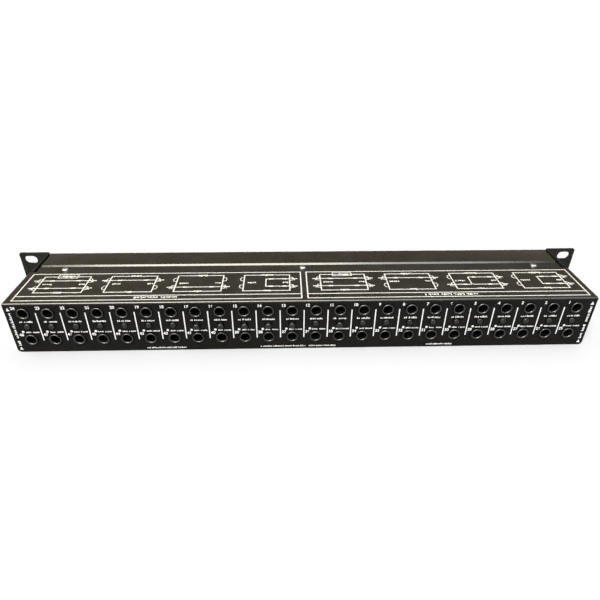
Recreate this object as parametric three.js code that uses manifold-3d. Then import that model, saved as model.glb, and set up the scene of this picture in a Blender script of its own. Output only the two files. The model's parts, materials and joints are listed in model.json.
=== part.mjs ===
// A one-unit rack patch bay. Each of its 24 channels has two jacks in front, two behind and a latching button.
// Millimetres, +Z up. The front faces -Y, and channel 1 is at -X. The origin is the middle of the underside.
import * as THREE from "three";
import { mergeVertices } from "three/addons/utils/BufferGeometryUtils.js";
import Module from "manifold-3d";

const wasm = await Module();
wasm.setup();

// ---- Driving dimensions ----
const rackWidth = 482.6; // over the ears
const earHeight = 44.4;
const bodyWidth = 437.4;
const bodyDepth = 81.6; // front face to rear face
const railTop = 44.2; // the fixed strip of the top, behind the front panel
const coverTop = 43.6; // the lift-off cover lies one step lower
const railEndGap = 2; // the strip's ends to the ears' side leaves
const seam = 0.3; // gap between neighbouring sheets
const footGap = 0.2; // keeps the panels' lower edges off the surface that the tray stands on

const channelCount = 24;
const channelPitch = 17.8;
const channelShift = 0.7; // the middle of the row of channels to the middle of the body
const upperJackHeight = 35.3;
const lowerJackHeight = 12;
const buttonHeight = (upperJackHeight + lowerJackHeight) / 2;

const boreApothem = 3.3; // takes a 6.35 mm plug
const noseRadius = 4.5;
const noseProud = 1.2; // how far a jack nose stands out of its panel
const jackLength = 30; // housing behind the panel
const jackBelow = 7.4; // housing, from the bore's axis down and up
const jackAbove = 4.8;
const jackLeft = 8; // housing, from the bore's axis to each side
const jackRight = 7.4;
const boardThickness = 1.2;

const buttonRadius = 2.3;
const buttonHoleApothem = 2.8;
const buttonTravel = 3;
const buttonProud = 4; // when it is out
const channelsWithButtonOut = [11, 13, 14, 15, 16, 17];

const frontSheet = 1.6;
const rearSheet = 1.2;
const traySheet = 1.2;
const coverSheet = 1;
const earSheet = 2;
const trayBend = 3; // outer radius of the tray's lower corners
const coverBend = 1.2;
const frontBend = 3; // outer radius where the front turns into the top's fixed strip
const stepRun = 2.6; // how far the step's slope runs back

const sideLeafLength = 34;
const sideLeafHeight = 40;
const seatClearance = 2.5; // kept free behind the ears' front leaves, so that they can lie on a rack's rails
const earCorner = 1.5; // radius of the ears' outer corners
const slotLength = 10.8;
const slotWidth = 7;
const slotSpacing = 31.75;
const slotInset = 8.75; // ear's outer edge to the slot's centre

const coverScrewX = [-191.5, 0, 191.5];
const coverScrewBehindRear = 51; // rear face to the screws' line
const stepBehindRear = 56; // rear face to the foot of the step in the top
const tongueLength = 10; // the tongue under the cover
const notchClearance = 0.5; // behind the side leaves, in the cover's front corners

const screwHeadRadius = 2.8;
const screwHeadHeight = 1.4;
const screwShankRadius = 1.35;
const screwHoleRadius = 1.7;
const screwStandoff = 0.05; // head to sheet
const coverScrewShank = 3.2;
const earScrewShank = 4;
const earScrewBehindFront = 16; // front face to the ear screws

const jackHoleGap = 0.25; // jack nose to the edge of its hole
const housingClearance = 0.4; // housing to panel
const switchBehindRear = 8.5; // rear face to the switch's own face
const switchLength = 14;
const switchHalfHeight = 3.6;
const pocketHalfWidth = 1.6; // hole in the switch for the plunger
const pocketDepth = 9;
const plungerHalfWidth = 1.3;
const plungerLength = 7;
const capLength = 8.5; // the button's round part
const overlap = 0.2; // how far solids that are joined run into each other
const facets = 8;
const bendSteps = 4; // straight pieces to a curve

// ---- Worked-out places ----
const frontFace = -(bodyDepth + buttonProud - noseProud) / 2; // puts the whole depth astride y = 0
const rearFace = frontFace + bodyDepth;
const frontPanelBack = frontFace + frontSheet;
const rearPanelFront = rearFace - rearSheet;
const halfBody = bodyWidth / 2;
const trayFront = frontFace + earSheet + seam;
const seatBack = frontFace + earSheet + seatClearance;
const trayBack = rearPanelFront - seam;
const wallTop = coverTop - coverBend - seam; // upper edge of the tray's walls and of the rear panel
const earLeafInner = halfBody - traySheet - seam - earSheet;
const stepY = rearFace - stepBehindRear;
const coverScrewY = rearFace - coverScrewBehindRear;
const earScrewY = frontFace + earScrewBehindFront;
const earScrewZ = earHeight / 2;
const channelX = (channel) => (channel - (channelCount + 1) / 2) * channelPitch + channelShift;

// ---- Materials ----
const paint = (color, roughness) => new THREE.MeshStandardMaterial({ color, roughness, metalness: 0.3 });
const plastic = (color, roughness) => new THREE.MeshStandardMaterial({ color, roughness, metalness: 0 });
const blackPaint = paint(0x141312, 0.4);
const blackJack = plastic(0x0e0e0f, 0.3);
const blackButton = plastic(0x18181a, 0.45);
const screwSteel = new THREE.MeshStandardMaterial({ color: 0x8a8783, roughness: 0.35, metalness: 1 });

// ---- Solids ----
const solid = (geometry) => {
  const bare = geometry.clone();
  bare.deleteAttribute("normal");
  bare.deleteAttribute("uv");
  const merged = mergeVertices(bare, 1e-4);
  return new wasm.Manifold(
    new wasm.Mesh({
      numProp: 3,
      vertProperties: new Float32Array(merged.attributes.position.array),
      triVerts: new Uint32Array(merged.index.array),
    }),
  );
};

const geometryOf = (manifold) => {
  const mesh = manifold.getMesh();
  const geometry = new THREE.BufferGeometry();
  geometry.setAttribute("position", new THREE.BufferAttribute(mesh.vertProperties, 3));
  geometry.setIndex(new THREE.BufferAttribute(mesh.triVerts, 1));
  geometry.computeVertexNormals();
  return geometry;
};

const join = (...geometries) => geometryOf(geometries.map(solid).reduce((a, b) => a.add(b)));
const cut = (geometry, ...tools) =>
  geometryOf(tools.reduce((a, tool) => a.subtract(solid(tool)), solid(geometry)));
const common = (a, b) => geometryOf(solid(a).intersect(solid(b)));

// A box from two opposite corners.
const block = ([x0, y0, z0], [x1, y1, z1]) =>
  new THREE.BoxGeometry(x1 - x0, y1 - y0, z1 - z0).translate((x0 + x1) / 2, (y0 + y1) / 2, (z0 + z1) / 2);

// A round bar along Y whose flats, not corners, lie at the given apothem.
const roundBar = (radius, length) => new THREE.CylinderGeometry(radius, radius, length, facets);

const barY = (apothem, x, z, y0, y1) =>
  roundBar(apothem / Math.cos(Math.PI / facets), y1 - y0)
    .rotateY(Math.PI / facets)
    .translate(x, (y0 + y1) / 2, z);

const barZ = (radius, x, y, z0, z1) =>
  roundBar(radius, z1 - z0)
    .rotateX(Math.PI / 2)
    .translate(x, y, (z0 + z1) / 2);

const barX = (radius, y, z, x0, x1) =>
  roundBar(radius, x1 - x0)
    .rotateZ(Math.PI / 2)
    .translate((x0 + x1) / 2, y, z);

const extrude = (shape, depth) =>
  new THREE.ExtrudeGeometry(shape, { depth, bevelEnabled: false, curveSegments: bendSteps, steps: 1 });

// An outline in X and Z, given thickness from y0 to y1.
const sheetXZ = (shape, y0, y1) => extrude(shape, y1 - y0).rotateX(Math.PI / 2).translate(0, y1, 0);

// An outline in Y and Z, run along X from -half to half.
const profileYZ = (shape, half) =>
  extrude(shape, 2 * half)
    .applyMatrix4(
      new THREE.Matrix4().makeBasis(
        new THREE.Vector3(0, 1, 0),
        new THREE.Vector3(0, 0, 1),
        new THREE.Vector3(1, 0, 0),
      ),
    )
    .translate(-half, 0, 0);

// A faceted round hole in a sheet's outline.
const roundHole = (x, z, apothem) => {
  const radius = apothem / Math.cos(Math.PI / facets);
  const corners = [...Array(facets).keys()].map((i) => {
    const angle = ((2 * i + 1) * Math.PI) / facets;
    return new THREE.Vector2(x + radius * Math.cos(angle), z + radius * Math.sin(angle));
  });
  return new THREE.Path(corners);
};

const coverScrewHoles = () =>
  coverScrewX.map((x) => barZ(screwHoleRadius, x, coverScrewY, buttonHeight, earHeight));
const polygon = (...points) => new THREE.Shape(points.map(([a, b]) => new THREE.Vector2(a, b)));

const allChannels = [...Array(channelCount).keys()].map((i) => i + 1);
const jackHoles = () =>
  allChannels.flatMap((channel) =>
    [upperJackHeight, lowerJackHeight].map((z) => roundHole(channelX(channel), z, noseRadius + jackHoleGap)),
  );

// ---- Sheet metal ----
function baseTray() {
  const inner = trayBend - traySheet;
  const outline = new THREE.Shape();
  outline.moveTo(-halfBody, wallTop);
  outline.lineTo(-halfBody, trayBend);
  outline.absarc(-halfBody + trayBend, trayBend, trayBend, Math.PI, 1.5 * Math.PI, false);
  outline.absarc(halfBody - trayBend, trayBend, trayBend, 1.5 * Math.PI, 2 * Math.PI, false);
  outline.lineTo(halfBody, wallTop);
  outline.lineTo(halfBody - traySheet, wallTop);
  outline.absarc(halfBody - trayBend, trayBend, inner, 0, -0.5 * Math.PI, true);
  outline.absarc(-halfBody + trayBend, trayBend, inner, -0.5 * Math.PI, -Math.PI, true);
  outline.lineTo(-halfBody + traySheet, wallTop);
  const reach = halfBody + 1;
  const screwHoles = barX(screwHoleRadius, earScrewY, earScrewZ, -reach, reach);
  const railGaps = [-1, 1].map((side) => {
    const [from, to] = [side * (earLeafInner - seam), side * reach].sort((a, b) => a - b);
    return block([from, trayFront - 1, -1], [to, seatBack, coverTop]);
  });
  return cut(sheetXZ(outline, trayFront, trayBack), screwHoles, ...railGaps);
}

function rearPanel() {
  const outline = new THREE.Shape();
  outline.moveTo(halfBody, wallTop);
  outline.lineTo(-halfBody, wallTop);
  outline.lineTo(-halfBody, trayBend + footGap);
  outline.absarc(-halfBody + trayBend, trayBend + footGap, trayBend, Math.PI, 1.5 * Math.PI, false);
  outline.absarc(halfBody - trayBend, trayBend + footGap, trayBend, 1.5 * Math.PI, 2 * Math.PI, false);
  outline.holes = [
    ...jackHoles(),
    ...allChannels.map((channel) => roundHole(channelX(channel), buttonHeight, buttonHoleApothem)),
  ];
  return sheetXZ(outline, rearPanelFront, rearFace);
}

function frontPanel() {
  const half = earLeafInner - seam;
  const top = railTop - frontBend - seam;
  const outline = polygon([-half, footGap], [half, footGap], [half, top], [-half, top]);
  outline.holes = jackHoles();
  return sheetXZ(outline, frontFace, frontPanelBack);
}

// The bend and the fixed strip behind the front panel, stepped down to a tongue that the cover is screwed to.
function frontTopRail() {
  const bendY = frontFace + frontBend;
  const bendZ = railTop - frontBend;
  const stripBottom = railTop - coverSheet;
  const tongueTop = coverTop - coverSheet - seam;
  const tongueBottom = tongueTop - coverSheet;
  const tongueEnd = stepY + tongueLength;
  const strip = new THREE.Shape();
  strip.moveTo(stepY - stepRun, stripBottom);
  strip.lineTo(stepY - coverSheet / 2, tongueBottom);
  strip.lineTo(tongueEnd, tongueBottom);
  strip.lineTo(tongueEnd, tongueTop);
  strip.lineTo(stepY, tongueTop);
  strip.lineTo(stepY + coverSheet / 2 - stepRun, railTop);
  strip.lineTo(bendY, railTop);
  strip.absarc(bendY, bendZ, frontBend, Math.PI / 2, Math.PI, false);
  strip.lineTo(bendY - frontBend + coverSheet, bendZ);
  strip.absarc(bendY, bendZ, frontBend - coverSheet, Math.PI, Math.PI / 2, true);
  return cut(profileYZ(strip, earLeafInner - railEndGap), ...coverScrewHoles());
}

// A shallow lid whose rear and side edges are rolled down.
// Its front corners are notched round the ears' side leaves.
function topCover() {
  const front = stepY + seam;
  const bottom = coverTop - coverBend;
  const rolledRear = new THREE.Shape();
  rolledRear.moveTo(front, bottom);
  rolledRear.lineTo(rearFace, bottom);
  rolledRear.absarc(rearFace - coverBend, bottom, coverBend, 0, Math.PI / 2, false);
  rolledRear.lineTo(front, coverTop);
  const rolledSides = new THREE.Shape();
  rolledSides.moveTo(-halfBody, bottom);
  rolledSides.lineTo(halfBody, bottom);
  rolledSides.absarc(halfBody - coverBend, bottom, coverBend, 0, Math.PI / 2, false);
  rolledSides.absarc(-halfBody + coverBend, bottom, coverBend, Math.PI / 2, Math.PI, false);
  const outside = common(profileYZ(rolledRear, halfBody), sheetXZ(rolledSides, front, rearFace));
  const inside = block(
    [-halfBody + coverSheet, front - 1, bottom - 1],
    [halfBody - coverSheet, rearFace - coverSheet, coverTop - coverSheet],
  );
  const notchInner = earLeafInner - railEndGap;
  const notchBack = frontFace + sideLeafLength + notchClearance;
  const notches = [
    block([notchInner, front - 1, bottom - 1], [halfBody + 1, notchBack, coverTop + 1]),
    block([-halfBody - 1, front - 1, bottom - 1], [-notchInner, notchBack, coverTop + 1]),
  ];
  return cut(outside, inside, ...notches, ...coverScrewHoles());
}

// The right ear: a leaf in front with two slots, and a leaf that runs back inside the tray's wall.
function rackEar() {
  const outer = rackWidth / 2;
  const outline = new THREE.Shape();
  outline.moveTo(earLeafInner, 0);
  outline.lineTo(outer - earCorner, 0);
  outline.absarc(outer - earCorner, earCorner, earCorner, -Math.PI / 2, 0, false);
  outline.absarc(outer - earCorner, earHeight - earCorner, earCorner, 0, Math.PI / 2, false);
  outline.lineTo(earLeafInner, earHeight);
  outline.holes = [-1, 1].map((side) => {
    const z = (earHeight + side * slotSpacing) / 2;
    const reach = (slotLength - slotWidth) / 2;
    const slot = new THREE.Path();
    slot.absarc(outer - slotInset + reach, z, slotWidth / 2, -Math.PI / 2, Math.PI / 2, false);
    slot.absarc(outer - slotInset - reach, z, slotWidth / 2, Math.PI / 2, 1.5 * Math.PI, false);
    return slot;
  });
  const frontLeaf = sheetXZ(outline, frontFace, frontFace + earSheet);
  const sideLeaf = block(
    [earLeafInner, frontFace + earSheet / 2, earHeight - sideLeafHeight],
    [earLeafInner + earSheet, frontFace + sideLeafLength, earHeight],
  );
  return cut(join(frontLeaf, sideLeaf), barX(screwHoleRadius, earScrewY, earScrewZ, 0, halfBody));
}

// ---- Fasteners ----
// A pan-head screw that points down, with the underside of its head at z = 0.
const screw = (shank) =>
  join(barZ(screwHeadRadius, 0, 0, 0, screwHeadHeight), barZ(screwShankRadius, 0, 0, -shank, overlap));

// ---- One channel ----
// The card stands upright: a board with two jacks facing forwards, two facing back, and the switch.
function jackCard() {
  const switchFace = rearFace - switchBehindRear;
  const rows = [upperJackHeight, lowerJackHeight];
  const housing = (z, y0, y1) =>
    block([-jackLeft, y0, z - jackBelow], [jackRight + overlap, y1, z + jackAbove]);
  const frontStart = frontPanelBack + housingClearance;
  const rearStart = rearPanelFront - housingClearance;
  const pieces = rows.flatMap((z) => [
    housing(z, frontStart, frontStart + jackLength),
    housing(z, rearStart - jackLength, rearStart),
    barY(noseRadius * Math.cos(Math.PI / facets), 0, z, frontFace - noseProud, frontStart + 1),
    barY(noseRadius * Math.cos(Math.PI / facets), 0, z, rearStart - 1, rearFace + noseProud),
  ]);
  const board = block(
    [jackRight, frontStart + 1, lowerJackHeight - jackBelow - 1],
    [jackRight + boardThickness, rearStart - 1, upperJackHeight + jackAbove],
  );
  const switchBody = block(
    [-switchHalfHeight, switchFace - switchLength, buttonHeight - switchHalfHeight],
    [jackRight + overlap, switchFace, buttonHeight + switchHalfHeight],
  );
  const pastNose = noseProud + 1;
  const bores = rows.map((z) => barY(boreApothem, 0, z, frontFace - pastNose, rearFace + pastNose));
  const plungerPocket = block(
    [-pocketHalfWidth, switchFace - pocketDepth, buttonHeight - pocketHalfWidth],
    [pocketHalfWidth, switchFace + 1, buttonHeight + pocketHalfWidth],
  );
  return cut(join(board, switchBody, ...pieces), ...bores, plungerPocket);
}

// The button's cap and plunger, in its outer position.
function modeButton() {
  const w = plungerHalfWidth;
  const capEnd = rearFace + buttonProud - capLength;
  return join(
    barY(buttonRadius * Math.cos(Math.PI / facets), 0, buttonHeight, capEnd, rearFace + buttonProud),
    block([-w, capEnd - plungerLength, buttonHeight - w], [w, capEnd + overlap, buttonHeight + w]),
  );
}

// ---- Assembly ----
const patchBay = new THREE.Group();
const add = (name, geometry, material) => {
  const mesh = new THREE.Mesh(geometry, material);
  mesh.name = name;
  patchBay.add(mesh);
  return mesh;
};

add("base_tray", baseTray(), blackPaint);
add("rear_panel", rearPanel(), blackPaint);
add("front_panel", frontPanel(), blackPaint);
add("front_top_rail", frontTopRail(), blackPaint);
add("top_cover", topCover(), blackPaint);

const ear = rackEar();
add("rack_ear_right", ear, blackPaint);
add("rack_ear_left", ear, blackPaint).scale.x = -1;

const coverScrew = screw(coverScrewShank);
["left", "centre", "right"].forEach((place, i) => {
  const placed = add("cover_screw_" + place, coverScrew, screwSteel);
  placed.position.set(coverScrewX[i], coverScrewY, coverTop + screwStandoff);
});

const earScrew = screw(earScrewShank).rotateY(Math.PI / 2);
const rightScrew = add("ear_screw_right", earScrew, screwSteel);
rightScrew.position.set(halfBody + screwStandoff, earScrewY, earScrewZ);
const leftScrew = add("ear_screw_left", earScrew, screwSteel);
leftScrew.scale.x = -1;
leftScrew.position.set(-halfBody - screwStandoff, earScrewY, earScrewZ);

const card = jackCard();
const button = modeButton();
for (const channel of allChannels) {
  const number = String(channel).padStart(2, "0");
  const pressed = channelsWithButtonOut.includes(channel) ? 0 : buttonTravel;
  add("jack_card_" + number, card, blackJack).position.x = channelX(channel);
  add("mode_button_" + number, button, blackButton).position.set(channelX(channel), -pressed, 0);
}

export default patchBay;
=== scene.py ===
"""The looks of a rack patch bay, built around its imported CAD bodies. Lengths are in millimetres times MM."""

import json
import math
import random

import bmesh
import bpy
from mathutils import Matrix, Vector


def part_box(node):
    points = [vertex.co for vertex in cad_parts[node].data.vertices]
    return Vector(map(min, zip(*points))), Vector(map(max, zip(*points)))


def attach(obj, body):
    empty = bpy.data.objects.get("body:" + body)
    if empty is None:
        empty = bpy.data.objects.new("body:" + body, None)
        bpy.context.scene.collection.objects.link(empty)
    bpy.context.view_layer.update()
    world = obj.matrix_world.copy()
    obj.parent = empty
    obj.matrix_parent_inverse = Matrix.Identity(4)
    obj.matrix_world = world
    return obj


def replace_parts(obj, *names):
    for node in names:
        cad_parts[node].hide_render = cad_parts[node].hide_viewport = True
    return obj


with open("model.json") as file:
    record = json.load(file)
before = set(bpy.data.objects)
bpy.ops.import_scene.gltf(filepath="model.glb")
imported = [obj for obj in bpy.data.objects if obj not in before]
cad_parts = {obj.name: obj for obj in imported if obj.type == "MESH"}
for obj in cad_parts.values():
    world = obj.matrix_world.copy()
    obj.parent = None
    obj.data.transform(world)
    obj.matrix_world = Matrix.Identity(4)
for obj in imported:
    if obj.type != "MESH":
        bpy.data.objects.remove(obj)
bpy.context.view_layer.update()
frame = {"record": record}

MM = 0.001
CHASSIS = "chassis"
CHANNELS = range(1, 25)
rng = random.Random(48)

# ---- Places, read from the CAD ----
tray_lo, tray_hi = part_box("base_tray")
rear_lo, rear_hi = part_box("rear_panel")
cover_lo, cover_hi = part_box("top_cover")
rail_lo, rail_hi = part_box("front_top_rail")
panel_lo, panel_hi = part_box("front_panel")
ear_lo, ear_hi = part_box("rack_ear_right")
card_lo, card_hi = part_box("jack_card_01")
REAR_Y = rear_hi.y
FRONT_Y = panel_lo.y
HALF = tray_hi.x
COVER_TOP = cover_hi.z
RAIL_TOP = rail_hi.z
channel_x = {}
for n in CHANNELS:
    lo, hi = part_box("mode_button_%02d" % n)
    channel_x[n] = (lo.x + hi.x) / 2
    BUTTON_Z = (lo.z + hi.z) / 2
sockets = {o["name"]: o["box_m"] for o in frame["record"]["physics"]["openings"]}
UPPER_Z = sum(corner[2] for corner in sockets["sockets_upper_01"]) / 2
LOWER_Z = sum(corner[2] for corner in sockets["sockets_lower_01"]) / 2
ROWS = (UPPER_Z, LOWER_Z)
NOSE_PROUD = FRONT_Y - card_lo.y
NOSE_R = 4.5 * MM
BORE_R = 3.3 * MM

# ---- Camera ----
camera = bpy.data.objects.new("camera", bpy.data.cameras.new("camera"))
bpy.context.scene.collection.objects.link(camera)
camera.data.sensor_width = 36
camera.data.lens = 29.401
camera_place = Vector((14.44, 341.88, 234.28)) * MM
camera_right = Vector((-0.9995, 0.03086, 0.00663))
camera_up = Vector((-0.0108, -0.53152, 0.84697))
camera_back = camera_right.cross(camera_up)
camera_turn = Matrix((camera_right, camera_up, camera_back)).transposed().to_4x4()
camera.matrix_world = Matrix.Translation(camera_place) @ camera_turn
bpy.context.scene.camera = camera


# ---- Mesh tools ----
SAME_POINT = 1e-7  # closer vertices than this are one


def place(name, mesh, material, body=CHASSIS, location=(0, 0, 0)):
    obj = bpy.data.objects.new(name, mesh)
    bpy.context.scene.collection.objects.link(obj)
    if not mesh.materials:
        mesh.materials.append(material)
    obj.location = location
    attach(obj, body)
    return obj


def from_bmesh(bm, sharp=32):
    bmesh.ops.remove_doubles(bm, verts=bm.verts, dist=SAME_POINT)
    bmesh.ops.recalc_face_normals(bm, faces=bm.faces)
    mesh = bpy.data.meshes.new("piece")
    bm.to_mesh(mesh)
    bm.free()
    smooth(mesh, sharp)
    return mesh


def smooth(mesh, sharp=32):
    mesh.polygons.foreach_set("use_smooth", [True] * len(mesh.polygons))
    mesh.set_sharp_from_angle(angle=math.radians(sharp))


def applied(obj):
    """The object's mesh with its modifiers applied; the object itself goes."""
    bpy.context.view_layer.update()
    made = obj.evaluated_get(bpy.context.evaluated_depsgraph_get())
    mesh = bpy.data.meshes.new_from_object(made)
    bpy.data.objects.remove(obj)
    return mesh


def bevelled(mesh, width, segments=2, angle=40, sharp=32):
    obj = bpy.data.objects.new("work", mesh)
    bpy.context.scene.collection.objects.link(obj)
    bevel = obj.modifiers.new("bevel", "BEVEL")
    bevel.width = width
    bevel.segments = segments
    bevel.limit_method = "ANGLE"
    bevel.angle_limit = math.radians(angle)
    mesh = applied(obj)
    smooth(mesh, sharp)
    return mesh


def carved(mesh, cutter):
    obj = bpy.data.objects.new("work", mesh)
    tool = bpy.data.objects.new("tool", cutter)
    for o in (obj, tool):
        bpy.context.scene.collection.objects.link(o)
    cut = obj.modifiers.new("cut", "BOOLEAN")
    cut.object = tool
    cut.operation = "DIFFERENCE"
    cut.solver = "EXACT"
    mesh = applied(obj)
    bpy.data.objects.remove(tool)
    return mesh


def circle(x, z, radius, count=40):
    return [
        (x + radius * math.cos(2 * math.pi * i / count), z + radius * math.sin(2 * math.pi * i / count))
        for i in range(count)
    ]


def arc(x, z, radius, start, end, count=8):
    """Points on an arc, angles in degrees."""
    return [
        (
            x + radius * math.cos(math.radians(start + (end - start) * i / count)),
            z + radius * math.sin(math.radians(start + (end - start) * i / count)),
        )
        for i in range(count + 1)
    ]


def plate(loops, thickness, arris):
    """A flat plate from z = 0 up, with rounded edges. The first loop is its outline, the rest are holes."""
    curve = bpy.data.curves.new("plate", "CURVE")
    curve.dimensions = "2D"
    curve.fill_mode = "BOTH"
    curve.extrude = thickness / 2 - arris
    curve.bevel_depth = arris
    curve.bevel_resolution = 2
    curve.offset = -arris
    for loop in loops:
        spline = curve.splines.new("POLY")
        spline.points.add(len(loop) - 1)
        for point, (x, y) in zip(spline.points, loop):
            point.co = (x, y, thickness / 2, 1)
        spline.use_cyclic_u = True
    obj = bpy.data.objects.new("plate", curve)
    bpy.context.scene.collection.objects.link(obj)
    mesh = applied(obj)
    bm = bmesh.new()
    bm.from_mesh(mesh)
    lift = thickness / 2 - sum(v.co.z for v in bm.verts) / len(bm.verts)
    for v in bm.verts:
        v.co.z += lift
    return from_bmesh(bm, sharp=20)


def upright(mesh, y):
    """Stands a plate up: its X stays, its Y becomes Z, and its thickness runs from y towards -Y."""
    mesh.transform(Matrix.Translation((0, y, 0)) @ Matrix.Rotation(math.pi / 2, 4, "X"))
    return mesh


def lathe(profile, count=40, closed=True):
    """Turns (radius, y) points round the Y axis. A closed profile makes a ring."""
    bm = bmesh.new()
    rings = []
    for radius, y in profile:
        if radius == 0:
            rings.append([bm.verts.new((0, y, 0))])
            continue
        ring = []
        for i in range(count):
            angle = 2 * math.pi * i / count
            ring.append(bm.verts.new((radius * math.cos(angle), y, radius * math.sin(angle))))
        rings.append(ring)
    pairs = list(zip(rings, rings[1:]))
    if closed:
        pairs.append((rings[-1], rings[0]))
    for a, b in pairs:
        for i in range(count):
            j = (i + 1) % count
            corners = [a[i % len(a)], a[j % len(a)], b[j % len(b)], b[i % len(b)]]
            corners = list(dict.fromkeys(corners))
            if len(corners) > 2:
                bm.faces.new(corners)
    return from_bmesh(bm, sharp=38)


def prism(points, start, end, axis="Y"):
    """An outline in XZ run along Y, or an outline in YZ run along X."""
    bm = bmesh.new()

    def at(p, along):
        return (p[0], along, p[1]) if axis == "Y" else (along, p[0], p[1])

    near = [bm.verts.new(at(p, start)) for p in points]
    far = [bm.verts.new(at(p, end)) for p in points]
    bm.faces.new(near)
    bm.faces.new(far[::-1])
    for i in range(len(points)):
        j = (i + 1) % len(points)
        bm.faces.new((near[i], far[i], far[j], near[j]))
    return from_bmesh(bm)


def add_block(bm, lo, hi):
    corners = [
        bm.verts.new((x, y, z)) for x in (lo[0], hi[0]) for y in (lo[1], hi[1]) for z in (lo[2], hi[2])
    ]
    for face in ((0, 1, 3, 2), (4, 6, 7, 5), (0, 4, 5, 1), (2, 3, 7, 6), (0, 2, 6, 4), (1, 5, 7, 3)):
        bm.faces.new([corners[i] for i in face])


def joined(*meshes):
    bm = bmesh.new()
    for mesh in meshes:
        bm.from_mesh(mesh)
    mesh = bpy.data.meshes.new("piece")
    bm.to_mesh(mesh)
    bm.free()
    return mesh


# ---- Materials ----
SKIN_SCALE = 2600  # grains to the metre in the paint's pebbled skin


def material(name):
    mat = bpy.data.materials.new(name)
    mat.use_nodes = True
    tree = mat.node_tree
    return mat, tree, tree.nodes["Principled BSDF"]


def node(tree, kind, **values):
    made = tree.nodes.new(kind)
    for key, value in values.items():
        if key in made.inputs:
            made.inputs[key].default_value = value
        else:
            setattr(made, key, value)
    return made


def ramp(tree, source, stops):
    made = tree.nodes.new("ShaderNodeValToRGB")
    while len(made.color_ramp.elements) < len(stops):
        made.color_ramp.elements.new(0.5)
    for element, (position, colour) in zip(made.color_ramp.elements, stops):
        element.position = position
        element.color = colour if len(colour) == 4 else (*colour, 1)
    tree.links.new(source, made.inputs["Fac"])
    return made


def grey(value):
    return (value, value, value)


def noise(tree, coords, scale, detail=3.0, roughness=0.5):
    made = node(tree, "ShaderNodeTexNoise", Scale=scale, Detail=detail, Roughness=roughness)
    tree.links.new(coords.outputs["Object"], made.inputs["Vector"])
    return made


def painted(name, dark, light, rough, specular, grain=0.16, specks=True):
    """Powder coat: a fine pebbled skin, a slow drift in tone, faint handling marks and a few dust specks."""
    mat, tree, shader = material(name)
    shader.inputs["Specular IOR Level"].default_value = specular
    coords = tree.nodes.new("ShaderNodeTexCoord")
    drift = noise(tree, coords, 22, detail=4)
    skin = noise(tree, coords, SKIN_SCALE, detail=2)
    tone = ramp(tree, drift.outputs["Fac"], [(0.3, dark), (0.7, light)])
    colour = tone.outputs["Color"]
    if specks:
        dust = noise(tree, coords, 900, detail=1)
        spots = ramp(tree, dust.outputs["Fac"], [(0.735, grey(0)), (0.765, grey(1))])
        mix = node(tree, "ShaderNodeMix", data_type="RGBA")
        tree.links.new(spots.outputs["Color"], mix.inputs["Factor"])
        tree.links.new(colour, mix.inputs["A"])
        mix.inputs["B"].default_value = (0.045, 0.042, 0.038, 1)
        colour = mix.outputs["Result"]
    tree.links.new(colour, shader.inputs["Base Color"])
    marks = noise(tree, coords, 75, detail=6, roughness=0.65)
    gloss = ramp(tree, marks.outputs["Fac"], [(0.3, grey(rough - 0.05)), (0.72, grey(rough + 0.09))])
    tree.links.new(gloss.outputs["Color"], shader.inputs["Roughness"])
    bump = node(tree, "ShaderNodeBump", Strength=grain, Distance=0.06 * MM)
    tree.links.new(skin.outputs["Fac"], bump.inputs["Height"])
    tree.links.new(bump.outputs["Normal"], shader.inputs["Normal"])
    return mat


def moulded(name, dark, light, rough, specular=0.5, grain=0.08, scale=3200):
    """Moulded plastic: an almost even tone, a fine spark-eroded skin and slight changes in gloss."""
    mat, tree, shader = material(name)
    shader.inputs["Specular IOR Level"].default_value = specular
    coords = tree.nodes.new("ShaderNodeTexCoord")
    drift = noise(tree, coords, 160, detail=3)
    tone = ramp(tree, drift.outputs["Fac"], [(0.35, dark), (0.68, light)])
    tree.links.new(tone.outputs["Color"], shader.inputs["Base Color"])
    gloss = ramp(tree, drift.outputs["Fac"], [(0.3, grey(rough)), (0.75, grey(rough + 0.1))])
    tree.links.new(gloss.outputs["Color"], shader.inputs["Roughness"])
    skin = noise(tree, coords, scale, detail=2)
    bump = node(tree, "ShaderNodeBump", Strength=grain, Distance=0.03 * MM)
    tree.links.new(skin.outputs["Fac"], bump.inputs["Height"])
    tree.links.new(bump.outputs["Normal"], shader.inputs["Normal"])
    return mat


def plated(name, dark, light, rough):
    """Bright plating with a faint cloudiness and fine turning marks."""
    mat, tree, shader = material(name)
    shader.inputs["Metallic"].default_value = 1
    coords = tree.nodes.new("ShaderNodeTexCoord")
    cloud = noise(tree, coords, 420, detail=4)
    tone = ramp(tree, cloud.outputs["Fac"], [(0.3, dark), (0.7, light)])
    tree.links.new(tone.outputs["Color"], shader.inputs["Base Color"])
    gloss = ramp(tree, cloud.outputs["Fac"], [(0.3, grey(rough)), (0.7, grey(rough + 0.14))])
    tree.links.new(gloss.outputs["Color"], shader.inputs["Roughness"])
    turned = node(tree, "ShaderNodeTexWave", Scale=1800, Distortion=0.6)
    turned.wave_type = "RINGS"
    turned.rings_direction = "Y"
    tree.links.new(coords.outputs["Object"], turned.inputs["Vector"])
    bump = node(tree, "ShaderNodeBump", Strength=0.05, Distance=0.02 * MM)
    tree.links.new(turned.outputs["Color"], bump.inputs["Height"])
    tree.links.new(bump.outputs["Normal"], shader.inputs["Normal"])
    return mat


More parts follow.
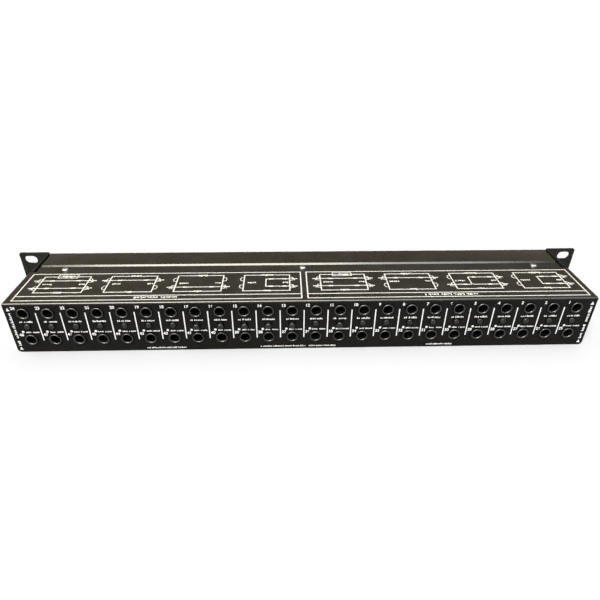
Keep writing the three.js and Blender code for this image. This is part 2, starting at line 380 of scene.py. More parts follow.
def inked(name, thin, full):
    """Screen-printed ink: slightly uneven cover with the paint's skin showing through."""
    mat, tree, shader = material(name)
    shader.inputs["Roughness"].default_value = 0.55
    coords = tree.nodes.new("ShaderNodeTexCoord")
    cover = noise(tree, coords, 1400, detail=3)
    tone = ramp(tree, cover.outputs["Fac"], [(0.28, thin), (0.5, full)])
    tree.links.new(tone.outputs["Color"], shader.inputs["Base Color"])
    skin = noise(tree, coords, SKIN_SCALE, detail=2)
    bump = node(tree, "ShaderNodeBump", Strength=0.1, Distance=0.04 * MM)
    tree.links.new(skin.outputs["Fac"], bump.inputs["Height"])
    tree.links.new(bump.outputs["Normal"], shader.inputs["Normal"])
    return mat


def laminate(name):
    """Circuit board: green resist over a woven glass base."""
    mat, tree, shader = material(name)
    coords = tree.nodes.new("ShaderNodeTexCoord")
    weave = node(tree, "ShaderNodeTexBrick", Scale=900)
    weave.inputs["Color1"].default_value = (0.012, 0.09, 0.03, 1)
    weave.inputs["Color2"].default_value = (0.018, 0.12, 0.04, 1)
    weave.inputs["Mortar"].default_value = (0.01, 0.07, 0.025, 1)
    tree.links.new(coords.outputs["Object"], weave.inputs["Vector"])
    tree.links.new(weave.outputs["Color"], shader.inputs["Base Color"])
    shader.inputs["Roughness"].default_value = 0.35
    return mat


chassis_paint = painted("chassis_paint", (0.0125, 0.0105, 0.0072), (0.0175, 0.0148, 0.0102), 0.28, 0.5)
ear_paint = painted("ear_paint", (0.009, 0.008, 0.0062), (0.013, 0.0115, 0.009), 0.4, 0.14)
panel_paint = painted("panel_paint", (0.0105, 0.0102, 0.009), (0.0135, 0.013, 0.0115), 0.5, 0.02)
jack_plastic = moulded(
    "jack_plastic", (0.004, 0.004, 0.0043), (0.006, 0.006, 0.0063), 0.14, specular=0.6, grain=0.03
)
housing_plastic = moulded("housing_plastic", (0.008, 0.008, 0.009), (0.012, 0.012, 0.013), 0.45, grain=0.2)
button_plastic = moulded(
    "button_plastic", (0.005, 0.005, 0.0052), (0.009, 0.009, 0.0092), 0.26, specular=0.4, grain=0.06
)
# This plating is much darker than bare nickel: painted shade for the sleeves and tip springs that sit deep
# inside the bores.
bore_shade_nickel = plated("bore_shade_nickel", (0.3, 0.29, 0.27), (0.42, 0.41, 0.39), 0.34)
screw_zinc = plated("screw_zinc", (0.16, 0.158, 0.15), (0.27, 0.265, 0.25), 0.3)
white_ink = inked("white_ink", (0.84, 0.84, 0.82), (0.94, 0.94, 0.92))
cream_ink = inked("cream_ink", (0.78, 0.76, 0.7), (0.9, 0.88, 0.82))
board_resist = laminate("board_resist")

# ---- Sheet metal ----
TRAY_BEND, SHEET, ARRIS = 3 * MM, 1.2 * MM, 0.25 * MM
WALL_TOP = tray_hi.z
FLOOR_Z = tray_lo.z
INNER_BEND = TRAY_BEND - SHEET
right_x, left_x = HALF - TRAY_BEND, -HALF + TRAY_BEND
bend_z = FLOOR_Z + TRAY_BEND

tray_outline = (
    [(-HALF, WALL_TOP)]
    + arc(left_x, bend_z, TRAY_BEND, 180, 270)
    + arc(right_x, bend_z, TRAY_BEND, 270, 360)
    + [(HALF, WALL_TOP), (HALF - SHEET, WALL_TOP)]
    + arc(right_x, bend_z, INNER_BEND, 0, -90)
    + arc(left_x, bend_z, INNER_BEND, -90, -180)
    + [(-HALF + SHEET, WALL_TOP)]
)
tray = place(
    "tray", bevelled(prism(tray_outline, tray_lo.y, tray_hi.y), ARRIS), chassis_paint
)
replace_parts(tray, "base_tray")

rear_bend_z = rear_lo.z + TRAY_BEND
rear_outline = (
    [(-HALF, rear_hi.z)]
    + arc(left_x, rear_bend_z, TRAY_BEND, 180, 270)
    + arc(right_x, rear_bend_z, TRAY_BEND, 270, 360)
    + [(HALF, rear_hi.z)]
)
JACK_HOLE_R, BUTTON_HOLE_R = 4.7 * MM, 2.75 * MM
rear_holes = [circle(channel_x[n], z, JACK_HOLE_R) for n in CHANNELS for z in ROWS]
rear_holes += [circle(channel_x[n], BUTTON_Z, BUTTON_HOLE_R) for n in CHANNELS]
rear = place(
    "rear_plate",
    upright(plate([rear_outline] + rear_holes, rear_hi.y - rear_lo.y, ARRIS), REAR_Y),
    panel_paint,
)
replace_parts(rear, "rear_panel")


def lid():
    """The cover: a flat sheet whose rear and side edges roll down, notched round the ears' side leaves."""
    roll, side_roll, sheet = 1.2 * MM, 0.6 * MM, 1 * MM
    past, far_past, notch_gap = 1 * MM, 2 * MM, 0.5 * MM
    steps = 8
    front, low = cover_lo.y, cover_lo.z
    side_profile = [(front, low), (REAR_Y, low)]
    side_profile += arc(REAR_Y - roll, COVER_TOP - roll, roll, 0, 90) + [(front, COVER_TOP)]
    sheet_mesh = prism(side_profile, -HALF, HALF, axis="X")
    waste = []
    for side in (-1, 1):
        corner = []
        for i in range(steps + 1):
            angle = math.radians(90 * i / steps)
            out, up = side_roll * math.cos(angle), roll * math.sin(angle)
            corner.append((side * (HALF - side_roll + out), COVER_TOP - roll + up))
        corner += [(side * (HALF - side_roll), COVER_TOP + past), (side * (HALF + past), COVER_TOP + past)]
        corner += [(side * (HALF + past), COVER_TOP - roll)]
        waste.append(prism(corner, front - past, REAR_Y + past))
    sheet_mesh = carved(sheet_mesh, joined(*waste))
    hollow = bmesh.new()
    reach, back = HALF - sheet, REAR_Y - sheet
    add_block(hollow, (-reach, front - past, low - past), (reach, back, COVER_TOP - sheet))
    sheet_mesh = carved(sheet_mesh, from_bmesh(hollow))
    notches = bmesh.new()
    for side in (-1, 1):
        x0, x1 = sorted((side * rail_hi.x, side * (HALF + far_past)))
        notch_end = (x1, ear_hi.y + notch_gap, COVER_TOP + far_past)
        add_block(notches, (x0, front - far_past, low - far_past), notch_end)
    sheet_mesh = carved(sheet_mesh, from_bmesh(notches))
    smooth(sheet_mesh, 40)
    return sheet_mesh


cover = place("lid", lid(), chassis_paint)
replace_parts(cover, "top_cover")


def front_shell():
    """The front panel, its bend, the fixed strip of the top, the step and the tongue, from one sheet."""
    face, sheet = panel_hi.y - panel_lo.y, 1 * MM
    bend, crest, heel = 3 * MM, 1.2 * MM, 1.0 * MM  # radii: the front's bend, the step's top, its foot
    seam, run, tongue_drop, heel_back = 0.3 * MM, 2.6 * MM, 1.3 * MM, 0.4 * MM
    past, leaf = 5 * MM, 2.2 * MM
    foot_y = cover_lo.y - seam
    tongue_top = COVER_TOP - tongue_drop
    bend_y, top_bend_z = FRONT_Y + bend, RAIL_TOP - bend
    outline = [(FRONT_Y, panel_lo.z)]
    outline += arc(bend_y, top_bend_z, bend, 180, 90)
    outline += arc(foot_y - run, RAIL_TOP - crest, crest, 90, 50, 4)
    outline += arc(foot_y + heel_back, tongue_top + heel, heel, 230, 270, 4)
    outline += [(rail_hi.y, tongue_top), (rail_hi.y, tongue_top - sheet)]
    outline += [(foot_y, tongue_top - sheet), (foot_y - run - sheet, RAIL_TOP - sheet)]
    outline += [(bend_y, RAIL_TOP - sheet)]
    outline += arc(bend_y, top_bend_z, bend - face, 90, 180, 5)
    outline += [(FRONT_Y + face, panel_lo.z)]
    half, strip_half = panel_hi.x, rail_hi.x
    shell = prism(outline, -half, half, axis="X")
    tools = []
    for n in CHANNELS:
        for z in ROWS:
            tools.append(prism(circle(channel_x[n], z, JACK_HOLE_R), FRONT_Y - past, FRONT_Y + past))
    ends = bmesh.new()
    for side in (-1, 1):
        x0, x1 = sorted((side * strip_half, side * (half + MM)))
        add_block(ends, (x0, FRONT_Y + leaf, top_bend_z), (x1, rail_hi.y + MM, RAIL_TOP + MM))
    tools.append(from_bmesh(ends))
    return bevelled(carved(shell, joined(*tools)), 0.2 * MM, angle=45)


front = place("front_shell", front_shell(), chassis_paint)
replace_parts(front, "front_panel", "front_top_rail")


SWAP_YZ = Matrix(((1, 0, 0, 0), (0, 0, 1, 0), (0, 1, 0, 0), (0, 0, 0, 1)))


def right_ear():
    """A bent bracket: a front leaf with two slots and a side leaf inside the tray's wall."""
    outer, inner = ear_hi.x, ear_lo.x
    front_y, back = ear_lo.y, ear_hi.y
    sheet, bend, corner = 2 * MM, 2.4 * MM, 1.5 * MM
    slot_x, slot_reach, slot_r = outer - 8.75 * MM, 1.9 * MM, 3.5 * MM
    middle, spacing = (ear_lo.z + ear_hi.z) / 2, 31.75 * MM
    leaf_low, relief_start, relief_wide = 4.4 * MM, 3 * MM, 2.5 * MM
    outline = [(outer, front_y)]
    outline += arc(inner + bend, front_y + bend, bend, 270, 180, 6)
    outline += [(inner, back), (inner + sheet, back)]
    outline += arc(inner + bend, front_y + bend, bend - sheet, 180, 270, 4)
    outline += [(outer, front_y + sheet)]
    bracket = prism(outline, ear_lo.z, ear_hi.z)
    bracket.transform(SWAP_YZ)
    y0, y1 = front_y - MM, front_y + 3 * MM
    tools = []
    for z in (middle - spacing / 2, middle + spacing / 2):
        slot = arc(slot_x + slot_reach, z, slot_r, -90, 90, 14)
        slot += arc(slot_x - slot_reach, z, slot_r, 90, 270, 14)
        tools.append(prism(slot, y0, y1))
    for z, turn in ((ear_lo.z, -1), (ear_hi.z, 1)):
        far = z + turn * MM
        round_off = [(outer - corner, far), (outer + MM, far), (outer + MM, z - turn * corner)]
        round_off += arc(outer - corner, z - turn * corner, corner, 0, turn * 90, 6)
        tools.append(prism(round_off, y0, y1))
    relief = bmesh.new()
    relief_low = (inner - MM, front_y + relief_start, ear_lo.z - MM)
    add_block(relief, relief_low, (inner + relief_wide, back + MM, ear_lo.z + leaf_low))
    tools.append(from_bmesh(relief))
    bm = bmesh.new()
    bm.from_mesh(bracket)
    bracket = from_bmesh(bm)
    return bevelled(carved(bracket, joined(*tools)), 0.22 * MM)


def mirrored(mesh, axis, about=0.0):
    """A mirror image, with its faces turned the right way out."""
    flip = Matrix.Identity(4)
    flip[axis][axis] = -1
    flip[axis][3] = 2 * about
    copy = mesh.copy()
    copy.transform(flip)
    copy.flip_normals()
    return copy


ear_mesh = right_ear()
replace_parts(place("ear_right", ear_mesh, ear_paint), "rack_ear_right")
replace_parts(place("ear_left", mirrored(ear_mesh, 0), ear_paint), "rack_ear_left")


# ---- Screws ----
HEAD = 1.4 * MM


def pan_head():
    """A pan-head cross-recess screw that points towards -Y, with its head's underside at y = 0."""
    head_r, head, shank_r, shank_end = 2.75 * MM, HEAD, 1.35 * MM, -3 * MM
    profile = [(0, head)]
    profile += [(0.9 * MM, head * 0.995), (1.7 * MM, head * 0.93), (2.3 * MM, head * 0.76)]
    profile += [(2.62 * MM, head * 0.5), (head_r, head * 0.22), (head_r, 0.04 * MM), (2.68 * MM, 0)]
    profile += [(shank_r, 0), (shank_r, shank_end), (0, shank_end)]
    blank = lathe(profile, 36, closed=False)
    arm, wide, floor_y, top = 1.45 * MM, 0.32 * MM, 0.45 * MM, 2 * MM
    cross = [(-arm, -wide), (-wide, -wide), (-wide, -arm), (wide, -arm), (wide, -wide), (arm, -wide)]
    cross += [(-x, -z) for x, z in cross]
    head_cut = carved(blank, prism(cross, floor_y, top))
    smooth(head_cut, 35)
    return head_cut


screw_mesh = pan_head()


def set_screw(name, node_name, turn, head_face):
    mesh = screw_mesh.copy()
    mesh.transform(turn)
    low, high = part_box(node_name)
    centre = (low + high) / 2
    screw = place(name, mesh, screw_zinc, location=head_face(low, high, centre))
    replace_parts(screw, node_name)


FIRST_TWIST, TWIST = 0.5, 0.9  # radians: no two recesses point the same way
for index, spot in enumerate(("left", "centre", "right")):
    twist = Matrix.Rotation(FIRST_TWIST + TWIST * index, 4, "Y")
    turn = Matrix.Rotation(math.pi / 2, 4, "X") @ twist
    set_screw(
        "lid_screw_" + spot, "cover_screw_" + spot, turn, lambda low, high, c: (c.x, c.y, high.z - HEAD)
    )
set_screw(
    "bracket_screw_right",
    "ear_screw_right",
    Matrix.Rotation(-math.pi / 2, 4, "Z"),
    lambda low, high, c: (high.x - HEAD, c.y, c.z),
)
set_screw(
    "bracket_screw_left",
    "ear_screw_left",
    Matrix.Rotation(math.pi / 2, 4, "Z"),
    lambda low, high, c: (low.x + HEAD, c.y, c.z),
)

# ---- Jacks, boards, switches and buttons ----
MID_Y = (FRONT_Y + REAR_Y) / 2
FACE_Y = REAR_Y + NOSE_PROUD
BORE_DEPTH = 24 * MM
BUSH_SHOULDER = 3 * MM  # behind the panel, where the bush narrows
BUSH_BACK_R = 4.1 * MM
HOUSING_GAP = 0.4 * MM  # panel to housing


def nose():
    """A jack's black bush, from its rim to the end of its bore. It faces +Y, with its axis at x = z = 0."""
    rim, seat = 0.4 * MM, FACE_Y - 1.25 * MM
    profile = [(NOSE_R, REAR_Y - BUSH_SHOULDER)]
    profile += [(r, y) for r, y in arc(NOSE_R - rim, FACE_Y - rim, rim, 0, 90, 5)]
    profile += [(3.95 * MM, FACE_Y), (3.78 * MM, FACE_Y - 0.06 * MM), (3.58 * MM, FACE_Y - 0.22 * MM)]
    profile += [(3.42 * MM, FACE_Y - 0.46 * MM), (BORE_R + 0.02 * MM, seat), (BORE_R, REAR_Y - BORE_DEPTH)]
    profile += [(BUSH_BACK_R, REAR_Y - BORE_DEPTH), (BUSH_BACK_R, REAR_Y - BUSH_SHOULDER)]
    return lathe(profile, 44)


def sleeve():
    """The sleeve contact, a thin ring a little way down the bore."""
    skin = 0.06 * MM
    front, back = FACE_Y - 10 * MM, FACE_Y - 13 * MM
    profile = [(BORE_R + skin, front), (BORE_R - skin, front - skin)]
    profile += [(BORE_R - skin, back), (BORE_R + skin, back)]
    return lathe(profile, 44)


def tip_spring():
    """The contact that presses on a plug's tip."""
    width, leaf = 1.3 * MM, 0.3 * MM
    y = REAR_Y - 18 * MM
    bent = [(y - 5 * MM, 3.2 * MM), (y - 2 * MM, 2.9 * MM), (y, 1.9 * MM), (y + 1.6 * MM, 2.9 * MM)]
    outline = bent + [(a, b + leaf) for a, b in reversed(bent)]
    return prism(outline, -width, width, axis="X")


def housing():
    """The moulded block behind the panel, with the bush in its round hole."""
    left, right, down, up, depth = 8 * MM, 7.3 * MM, 7.4 * MM, 4.8 * MM, 30 * MM
    hole_r, disc, edge = 4.16 * MM, 1 * MM, 0.4 * MM
    outline = [(-left, -down), (right, -down), (right, up), (-left, up)]
    block = upright(plate([outline, circle(0, 0, hole_r)], depth, edge), rear_lo.y - HOUSING_GAP)
    back = lathe([(0, 0), (BUSH_BACK_R, 0), (BUSH_BACK_R, -disc), (0, -disc)], 24, closed=False)
    back.transform(Matrix.Translation((0, REAR_Y - BORE_DEPTH - 0.1 * MM, 0)))
    return joined(block, back)


def four(mesh):
    """One copy for each of a channel's jacks: two rows, behind and in front."""
    copies = []
    for z in ROWS:
        behind = mesh.copy()
        behind.transform(Matrix.Translation((0, 0, z)))
        copies += [behind, mirrored(behind, 1, MID_Y)]
    made = joined(*copies)
    smooth(made, 38)
    return made


def circuit_board():
    """The upright board beside the jacks, from just behind the rear panel forwards."""
    left, right = 7.4 * MM, 8.6 * MM
    front, back = rear_lo.y - 72 * MM, rear_lo.y - 2 * MM
    low, high = LOWER_Z - 8.4 * MM, UPPER_Z + 4.8 * MM
    bm = bmesh.new()
    add_block(bm, (left, front, low), (right, back, high))
    return bevelled(from_bmesh(bm), 0.12 * MM)


def switch_case():
    """The switch's housing, with the square pocket that the plunger slides in."""
    face = REAR_Y - 8.5 * MM
    half, length, right = 3.6 * MM, 14 * MM, 7.3 * MM
    pocket_half, pocket_depth = 1.6 * MM, 9 * MM
    bm = bmesh.new()
    add_block(bm, (-half, face - length, BUTTON_Z - half), (right, face, BUTTON_Z + half))
    pocket = bmesh.new()
    pocket_low = (-pocket_half, face - pocket_depth, BUTTON_Z - pocket_half)
    add_block(pocket, pocket_low, (pocket_half, face + MM, BUTTON_Z + pocket_half))
    return bevelled(carved(from_bmesh(bm), from_bmesh(pocket)), 0.15 * MM)


def button_cap(length):
    """Cap and plunger, with the cap's outer end at y = 0."""
    radius, rim, cap, plunger = 2.15 * MM, 0.6 * MM, 8.5 * MM, 1.3 * MM
    profile = [(0, -0.16 * MM), (0.9 * MM, -0.13 * MM), (1.35 * MM, -0.03 * MM)]
    profile += [(r, y) for r, y in reversed(arc(radius - rim, -rim, rim, 0, 90, 5))]
    profile += [(radius, -cap), (0, -cap)]
    body = lathe(profile, 36, closed=False)
    bm = bmesh.new()
    add_block(bm, (-plunger, -length, -plunger), (plunger, -cap + 0.2 * MM, plunger))
    made = joined(body, bevelled(from_bmesh(bm), 0.15 * MM))
    smooth(made, 38)
    return made


button_lo, button_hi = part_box("mode_button_01")
parts = {
    "bushes": (four(nose()), jack_plastic, "jack_plastic"),
    "sleeves": (four(sleeve()), bore_shade_nickel, "screw_steel"),
    "springs": (four(tip_spring()), bore_shade_nickel, "screw_steel"),
    "housings": (four(housing()), housing_plastic, "jack_plastic"),
    "board": (circuit_board(), board_resist, "jack_plastic"),
    "switch": (switch_case(), housing_plastic, "jack_plastic"),
}
cap_mesh = button_cap(button_hi.y - button_lo.y)
for n in CHANNELS:
    made = [
        place("%s_%02d" % (part, n), mesh, mat, location=(channel_x[n], 0, 0))
        for part, (mesh, mat, slot) in parts.items()
    ]
    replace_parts(made[0], "jack_card_%02d" % n)
    low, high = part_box("mode_button_%02d" % n)
    cap = place(
        "cap_%02d" % n, cap_mesh, button_plastic, body="button_%02d" % n,
        location=(channel_x[n], high.y, BUTTON_Z),
    )
    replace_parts(cap, "mode_button_%02d" % n)

# ---- Print ----
INK = 0.03 * MM
LEVELS = 24  # heights that strokes lie at


def rear_point(u, z, out):
    return (u, REAR_Y + out, z)


def top_point(u, v, out):
    return (u, v, COVER_TOP + out)


class Print:
    """Bars, dots and outlines of ink, as thin closed solids on one surface."""

    def __init__(self, at):
        self.bm = bmesh.new()
        self.at = at
        self.laid = 0

    def patch(self, points):
        # strokes that cross lie at slightly different heights, so that no two faces share a plane
        self.laid += 1
        lift = INK * (0.5 + (self.laid % LEVELS) / LEVELS)
        low = [self.bm.verts.new(self.at(u, v, -INK / 2 - lift / 8)) for u, v in points]
        high = [self.bm.verts.new(self.at(u, v, lift)) for u, v in points]
        self.bm.faces.new(low)
        self.bm.faces.new(high)
        for i in range(len(points)):
            j = (i + 1) % len(points)
            self.bm.faces.new((low[i], low[j], high[j], high[i]))

    def bar(self, a, b, width):
        along = (Vector(b) - Vector(a)).normalized()
        side = Vector((-along.y, along.x)) * width / 2
        tip = along * width / 2
        a, b = Vector(a) - tip, Vector(b) + tip
        self.patch([a + side, a - side, b - side, b + side])

    def path(self, points, width, closed=True):
        ends = zip(points, points[1:] + points[:1]) if closed else zip(points, points[1:])
        for a, b in ends:
            self.bar(a, b, width)

    def letter(self, u, v, width, height, turned, weight):
        """A made-up letter: two or three strokes that spell nothing."""
        stroke = weight * height
        half = stroke / 2
        left, right = half, width - half
        low, high = half - height / 2, height / 2 - half
        strokes = [((left, low), (left, high))]
        shape = rng.randrange(5)
        if shape in (0, 3):
            strokes.append(((right, low), (right, high)))
        if shape in (1, 3):
            strokes.append(((left, high), (right, high)))
        if shape in (0, 2):
            strokes.append(((left, 0), (right, 0)))
        if shape in (1, 4):
            strokes.append(((left, low), (right, low)))
        for stroke_ends in strokes:
            start, end = [(u + b, v + a) if turned else (u + a, v + b) for a, b in stroke_ends]
            self.bar(start, end, stroke)

    def words(self, start, end, centre, height, upright_run=False, weight=0.36):
        """A line of small print, as made-up letters in words."""
        place_at, run = start, 0
        while place_at < end - 0.45 * height:
            width = min(rng.uniform(0.5, 0.78) * height, end - place_at)
            tall = height * rng.choice((0.76, 0.76, 1.0))
            shift = (tall - height) / 2
            if upright_run:
                self.letter(centre + shift, place_at, width, tall, True, weight)
            else:
                self.letter(place_at, centre + shift, width, tall, False, weight)
            run += 1
            space = 0.16 * height
            if run > 3 and rng.random() < 0.3:
                space, run = height * 0.6, 0
            place_at += width + space

    def mesh(self):
        return from_bmesh(self.bm)


rear_print = Print(rear_point)
for n in range(1, len(CHANNELS)):
    x = (channel_x[n] + channel_x[n + 1]) / 2
    rear_print.bar((x, UPPER_Z - 24 * MM), (x, UPPER_Z - 0.2 * MM), 0.8 * MM)
UPPER_LABEL, LOWER_LABEL = (1.4 * MM, 0.4), (1.15 * MM, 0.46)  # letter height, and stroke as a share of it
DOT_R = 0.95 * MM
for n in CHANNELS:
    x = channel_x[n]
    half_z, full_z = UPPER_Z - 7.5 * MM, UPPER_Z - 16.9 * MM
    tall, weight = UPPER_LABEL
    rear_print.words(x + 2.7 * MM, x + 4.8 * MM, half_z, tall, weight=weight)
    rear_print.words(x - 4.8 * MM, x + 2.1 * MM, half_z, tall, weight=weight)
    rear_print.patch(circle(x + 4.4 * MM, full_z + 0.5 * MM, DOT_R, 20))
    tall, weight = LOWER_LABEL
    rear_print.words(x - 1.2 * MM, x + 2.9 * MM, full_z, tall, weight=weight)
    rear_print.words(x - 7.3 * MM, x - 1.9 * MM, full_z, tall, weight=weight)
FOOT_LINES = ((91, 121), (-0.5, 34.4), (-23.8, -2.7), (-114.8, -94.5))
for start, end in FOOT_LINES:
    rear_print.words(start * MM, end * MM, UPPER_Z - 32.6 * MM, 1.25 * MM)
SIDE_X, ARROW = 215.4 * MM, 1.3 * MM
SIDE_WORDS = ((-29, -23.6), (-22, -14.5), (-13.2, 0.4))
for side in (-1, 1):
    x = side * SIDE_X
    for z in (UPPER_Z + 3.4 * MM, UPPER_Z - 31.6 * MM):
        rear_print.patch([(x - ARROW, z - ARROW), (x + ARROW, z - ARROW), (x, z + 1.4 * MM)])
    for start, end in SIDE_WORDS:
        rear_print.words(UPPER_Z + start * MM, UPPER_Z + end * MM, x, 1.9 * MM, upright_run=True)
place("rear_print", rear_print.mesh(), white_ink)


def digits(text, height):
    """A number as a thin solid in the XY plane."""
    capital = 0.7  # a figure's height as a share of its font size
    curve = bpy.data.curves.new("number", "FONT")
    curve.body = text
    curve.align_x = "CENTER"
    curve.align_y = "CENTER"
    curve.size = height / capital
    curve.offset = 0.05 * height
    curve.extrude = INK / 2
    obj = bpy.data.objects.new("number", curve)
    bpy.context.scene.collection.objects.link(obj)
    return applied(obj)


FACING_REAR = Matrix(((-1, 0, 0, 0), (0, 0, 1, 0), (0, 1, 0, 0), (0, 0, 0, 1)))
FIGURE, FIGURE_ASIDE = 2.3 * MM, 6.3 * MM  # height, and how far to the jack's +X side
numbers = []
for n in CHANNELS:
    for label, z in ((n, UPPER_Z + 4.3 * MM), (n + len(CHANNELS), LOWER_Z + 4.0 * MM)):
        mesh = digits(str(label), FIGURE)
        spot = Matrix.Translation((channel_x[n] + FIGURE_ASIDE, REAR_Y + INK / 2, z))
        mesh.transform(spot @ FACING_REAR)
        numbers.append(mesh)
place("rear_numbers", joined(*numbers), white_ink)

top_print = Print(top_point)
LINE, THIN_LINE, BOX_LINE = 0.9 * MM, 0.6 * MM, 0.7 * MM
DIAGRAM_W, DIAGRAM_D = 35.5 * MM, 24 * MM
NEAR_SHARE, FAR_SHARE = 0.73, 0.26  # where a diagram's two signal lines run, from its front


def jack_symbol(x, y, out, plugged):
    """A jack drawn on the side of a diagram. out is +1 or -1, away from the diagram."""
    reach, half = 3 * MM, 2.9 * MM
    shoulder, waist = x + out * reach * 0.8, half * 0.75
    bulge = [(x, y - half), (shoulder, y - waist), (x + out * reach, y), (shoulder, y + waist), (x, y + half)]
    top_print.path(bulge, THIN_LINE, closed=False)
    if plugged:
        slash_from, slash_to = (x + out * 2.2 * MM, y - 2.2 * MM), (x + out * 4.0 * MM, y + 2.2 * MM)
        top_print.bar((x, y), (x + out * 5.6 * MM, y), 1.1 * MM)
        top_print.bar(slash_from, slash_to, THIN_LINE)


def diagram(left, front, lines, plugs, box_label=False):
    """One routing drawing. left is its -X side as drawn, front its -Y side."""
    x0, x1, y0, y1 = left, left + DIAGRAM_W, front, front + DIAGRAM_D
    near, far = y0 + NEAR_SHARE * DIAGRAM_D, y0 + FAR_SHARE * DIAGRAM_D
    rows = {"near": near, "far": far}
    top_print.path([(x0, y0), (x1, y0), (x1, y1), (x0, y1)], LINE)
    for side, x, out in (("right", x0, -1), ("left", x1, 1)):
        for row in ("near", "far"):
            jack_symbol(x, rows[row], out, (side, row) in plugs)
    arrow_half, arrow_wide = 0.9 * MM, 1.7 * MM
    for a, b, row in lines:
        xa, xb = x0 + a * DIAGRAM_W, x0 + b * DIAGRAM_W
        top_print.bar((xa, rows[row]), (xb, rows[row]), LINE)
        for share in (0.22, 0.78):
            spot = xa + share * (xb - xa)
            top_print.bar((spot - arrow_half, rows[row]), (spot + arrow_half, rows[row]), arrow_wide)
    middle, centre = (near + far) / 2, (x0 + x1) / 2
    margin = 1.2 * MM
    top_print.words(x1 - 9.4 * MM, x1 - margin, middle, 1.9 * MM, weight=0.5)
    top_print.words(x0 + margin, x0 + 6 * MM, middle, 1.9 * MM, weight=0.5)
    title_half, foot_half = 4.8 * MM, 3.2 * MM
    top_print.words(centre - title_half, centre + title_half, y0, 2.5 * MM, weight=0.45)
    top_print.words(centre - foot_half, centre + foot_half, y1, 2.3 * MM, weight=0.45)
    if box_label:
        box0, box1, low, high = centre - 7.5 * MM, centre + 7.5 * MM, y0 - 3.1 * MM, y0 + 2.0 * MM
        top_print.path([(box0, low), (box1, low), (box1, high), (box0, high)], BOX_LINE)


THROUGH = [(0, 1, "near"), (0, 1, "far")]
ALL_PLUGS = {("left", "near"), ("left", "far"), ("right", "near"), ("right", "far")}
FAR_ONLY = ([(0, 1, "far")], {("left", "far"), ("right", "far")}, False)
HALF_WAY, TWO_THIRDS = 0.52, 0.62
LOOPED = (
    [(0, HALF_WAY, "near"), (0, HALF_WAY, "far")], {("right", "near"), ("right", "far")}, False
)
STYLES = [
    (THROUGH, ALL_PLUGS, True),
    FAR_ONLY,
    ([(0, 1, "near")], {("left", "near"), ("right", "near")}, False),
    LOOPED,
    (THROUGH, ALL_PLUGS, True),
    FAR_ONLY,
    (
        [(0, 1, "near"), (0, TWO_THIRDS, "far")],
        {("left", "near"), ("right", "near"), ("right", "far")},
        False,
    ),
    LOOPED,
]
LINK_AT = {3: HALF_WAY, 6: TWO_THIRDS, 7: HALF_WAY}  # diagrams whose two lines are joined, and where
FRAME_HALF = len(STYLES) // 2
FIRST_EDGE, SECOND_EDGE, STEP = 202.5, -13, 52
front_of = REAR_Y - 39 * MM
for index, (lines, plugs, boxed) in enumerate(STYLES):
    first = FIRST_EDGE if index < FRAME_HALF else SECOND_EDGE
    left_edge = (first - STEP * (index % FRAME_HALF)) * MM
    diagram(left_edge - DIAGRAM_W, front_of, lines, plugs, boxed)
    if index in LINK_AT:
        x = left_edge - DIAGRAM_W + LINK_AT[index] * DIAGRAM_W
        far_y, near_y = front_of + FAR_SHARE * DIAGRAM_D, front_of + NEAR_SHARE * DIAGRAM_D
        top_print.bar((x, far_y), (x, near_y), LINE)
frame_front, strip_line, frame_back = REAR_Y - 43.5 * MM, REAR_Y - 10 * MM, REAR_Y - 4 * MM
for x0, x1 in ((2.3 * MM, 213.2 * MM), (-214 * MM, -2.3 * MM)):
    top_print.path([(x0, frame_front), (x1, frame_front), (x1, frame_back), (x0, frame_back)], LINE)
    top_print.bar((x0, strip_line), (x1, strip_line), LINE)
STRIP_WORDS = ((94.5, 106.5), (108.5, 126), (-130, -90))
for start, end in STRIP_WORDS:
    top_print.words(start * MM, end * MM, REAR_Y - 7 * MM, 2.6 * MM)
place("lid_print", top_print.mesh(), cream_ink)

# ---- Stage ----
FLOOR_REACH = 200
floor_corners = [(x * FLOOR_REACH, y * FLOOR_REACH, 0) for x, y in ((-1, -1), (1, -1), (1, 1), (-1, 1))]
floor_mesh = bpy.data.meshes.new("floor")
floor_mesh.from_pydata(floor_corners, [], [(0, 1, 2, 3)])
floor = bpy.data.objects.new("floor", floor_mesh)
bpy.context.scene.collection.objects.link(floor)
floor_paint, floor_tree, floor_shader = material("floor_paint")
floor_shader.inputs["Base Color"].default_value = (0.83, 0.84, 0.862, 1)
floor_shader.inputs["Roughness"].default_value = 0.9
floor_shader.inputs["Specular IOR Level"].default_value = 0.0
floor_mesh.materials.append(floor_paint)

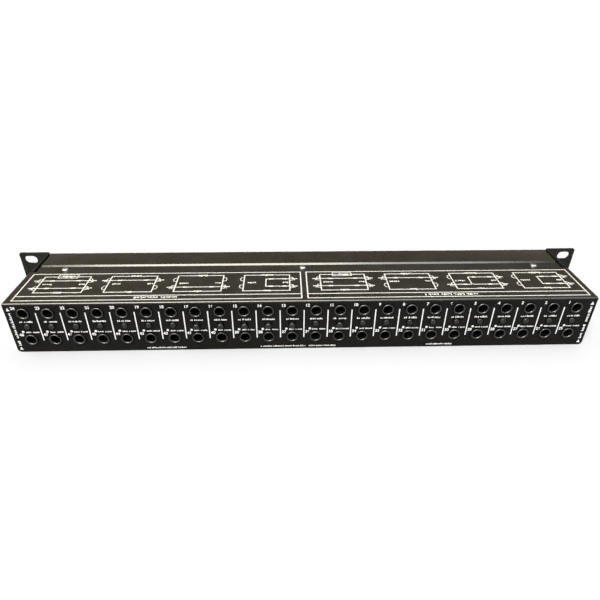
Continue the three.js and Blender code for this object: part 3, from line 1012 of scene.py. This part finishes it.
world = bpy.data.worlds.new("studio")
bpy.context.scene.world = world
world.use_nodes = True
sky = world.node_tree
direction = sky.nodes.new("ShaderNodeTexCoord")
split = sky.nodes.new("ShaderNodeSeparateXYZ")
height = sky.nodes.new("ShaderNodeValToRGB")
sky.links.new(direction.outputs["Generated"], split.inputs[0])
sky.links.new(split.outputs["Z"], height.inputs[0])
sky.links.new(height.outputs[0], sky.nodes["Background"].inputs["Color"])
height.color_ramp.elements[0].position = 0.0
height.color_ramp.elements[0].color = (0.8, 0.8, 0.8, 1)
height.color_ramp.elements[1].position = 1.0
height.color_ramp.elements[1].color = (1.1, 1.1, 1.1, 1)
room, ceiling = (0.23, 0.195, 0.135, 1), (1.05, 1.05, 1.05, 1)
for spot, colour in ((0.14, room), (0.68, room), (0.8, ceiling)):
    height.color_ramp.elements.new(spot).color = colour
sky.nodes["Background"].inputs["Strength"].default_value = 1.0


def aimed(name, kind, origin, target=(0, 0, 0.03)):
    """A lamp at origin that shines at target."""
    lamp = bpy.data.lights.new(name, kind)
    obj = bpy.data.objects.new(name, lamp)
    bpy.context.scene.collection.objects.link(obj)
    obj.location = origin
    obj.rotation_euler = (Vector(target) - Vector(origin)).to_track_quat("-Z", "Y").to_euler()
    return lamp


key = aimed("key", "SUN", (0.34, 0.56, 0.76), (0, 0, 0))
key.energy = 2.65
key.angle = math.radians(26)
key.color = (1, 1, 1)
for name, origin, target, size, energy, colour in (
    ("softbox", (0.42, 0.36, 1.2), (0.42, 0.3, 0), (1.45, 1.2), 130, (1, 0.94, 0.8)),
    ("softbox_cool", (-0.75, 0.36, 1.2), (-0.75, 0.3, 0), (0.85, 1.2), 28, (0.8, 0.9, 1)),
    ("window", (1.15, 0.5, 0.5), (0, 0, 0.03), (0.7, 0.7), 14, (1, 0.97, 0.92)),
    ("far_window", (-1.15, 0.5, 0.4), (0, 0, 0.03), (0.4, 0.5), 5, (0.85, 0.93, 1)),
):
    lamp = aimed(name, "AREA", origin, target)
    lamp.shape = "RECTANGLE"
    lamp.size, lamp.size_y = size
    lamp.energy = energy
    lamp.color = colour
    bpy.data.objects[name].visible_diffuse = False

bpy.context.scene.view_settings.view_transform = "Standard"
